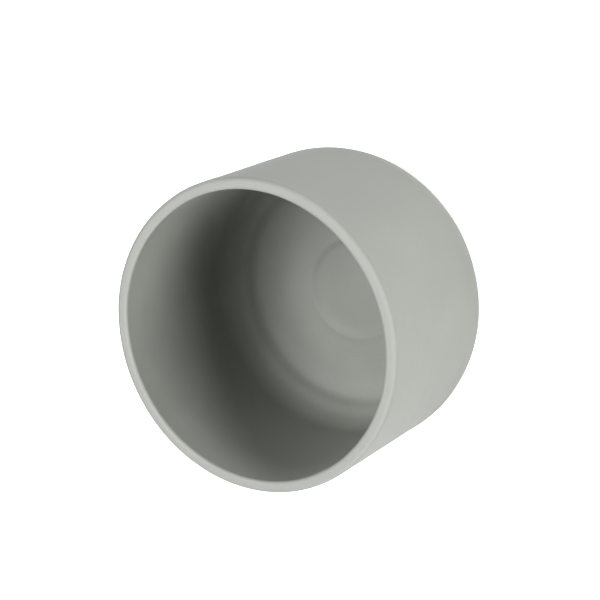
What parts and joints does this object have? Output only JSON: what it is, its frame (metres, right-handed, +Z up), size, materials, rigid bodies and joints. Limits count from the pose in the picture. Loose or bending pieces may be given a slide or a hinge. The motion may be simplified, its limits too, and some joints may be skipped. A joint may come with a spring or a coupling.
{
  "type": "candle jar",
  "caption": "Round open-topped ceramic jar with a thick straight wall, a rounded base, a soft lip and a satin glaze, for holding a poured candle.",
  "frame": {"origin": "centre of the foot ring, on the plane the jar stands on", "axes": "+Z up along the jar's axis of revolution, out of the mouth; X and Y are equivalent"},
  "size_m": [0.09, 0.09, 0.067],
  "materials": {
    "bare_clay": "unglazed fired stoneware, matt, fine sandy grain",
    "satin_glaze": "satin matt warm grey glaze over fine turning lines"
  },
  "bodies": {
    "root": {"clay_body": "bare_clay", "glaze_coat": "satin_glaze"}
  },
  "joints": []
}
